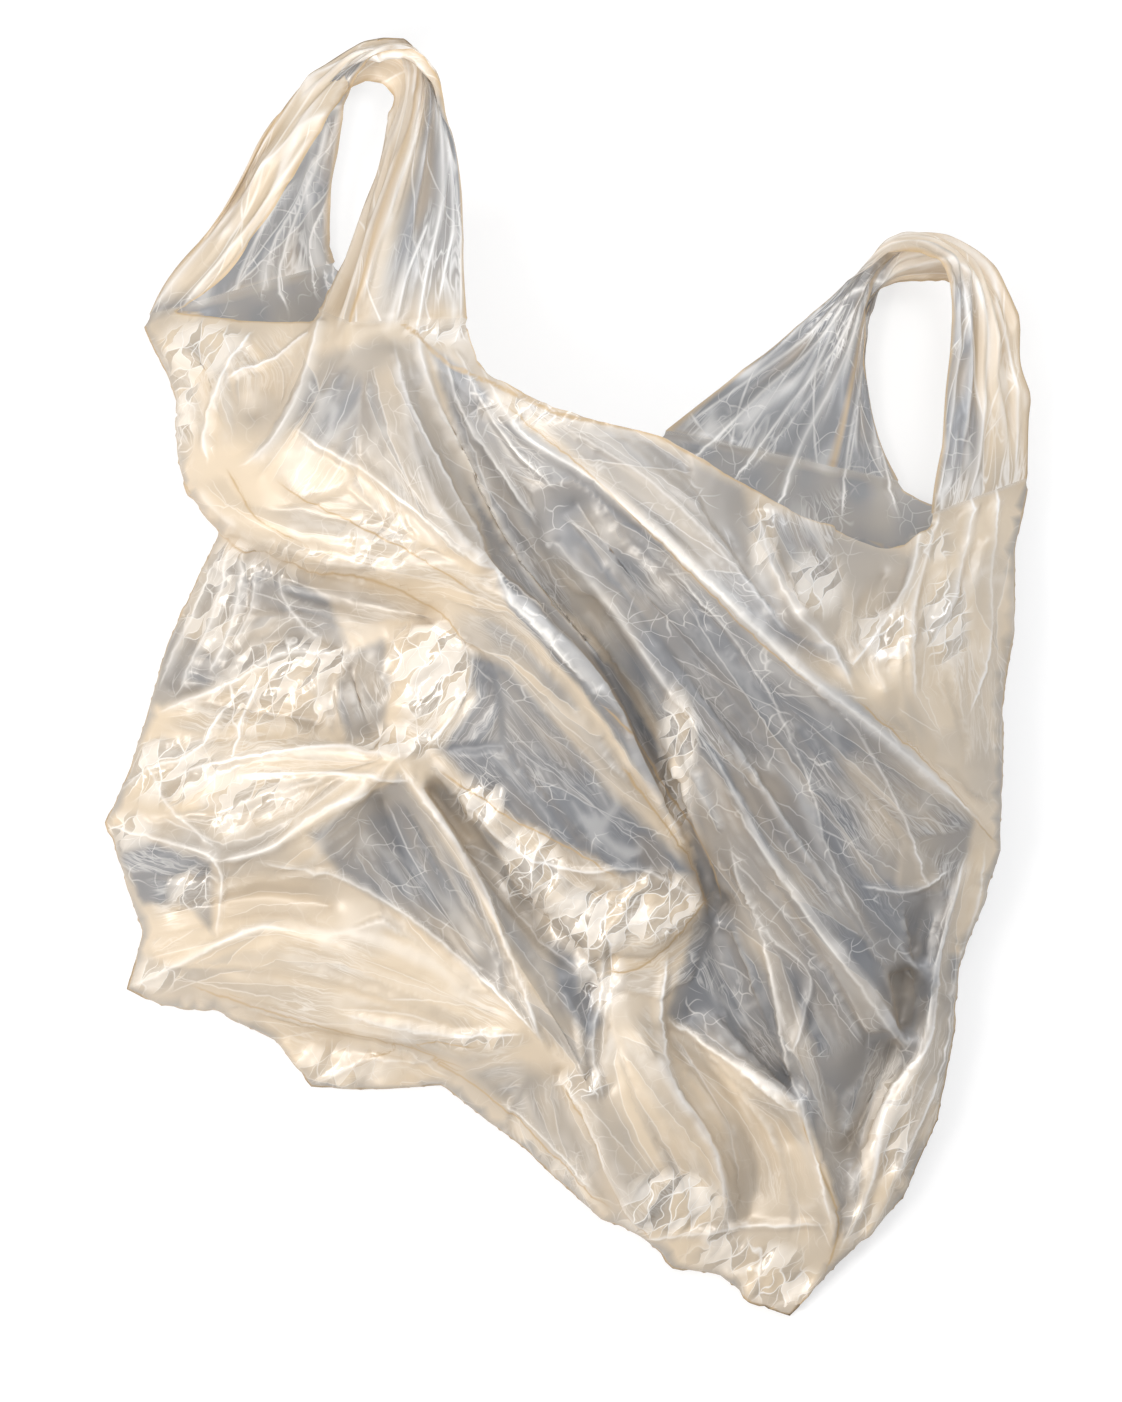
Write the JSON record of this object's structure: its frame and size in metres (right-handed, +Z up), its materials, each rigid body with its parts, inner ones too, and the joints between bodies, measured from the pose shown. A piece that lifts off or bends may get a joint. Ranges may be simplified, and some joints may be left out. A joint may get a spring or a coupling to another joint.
{
  "type": "plastic carrier bag",
  "caption": "Thin see-through carrier bag with loop handles, open and crumpled, lying on its back panel.",
  "frame": {"origin": "centre of the bag's plan outline, on the plane that its back panel rests on", "axes": "+Z up from the floor, +Y from the bottom seal towards the handles, +X across the mouth"},
  "size_m": [0.3612, 0.5014, 0.1236],
  "materials": {
    "film": "milky see-through film with a soft sheen"
  },
  "bodies": {
    "root": {"carrier_bag": "film"}
  },
  "joints": []
}
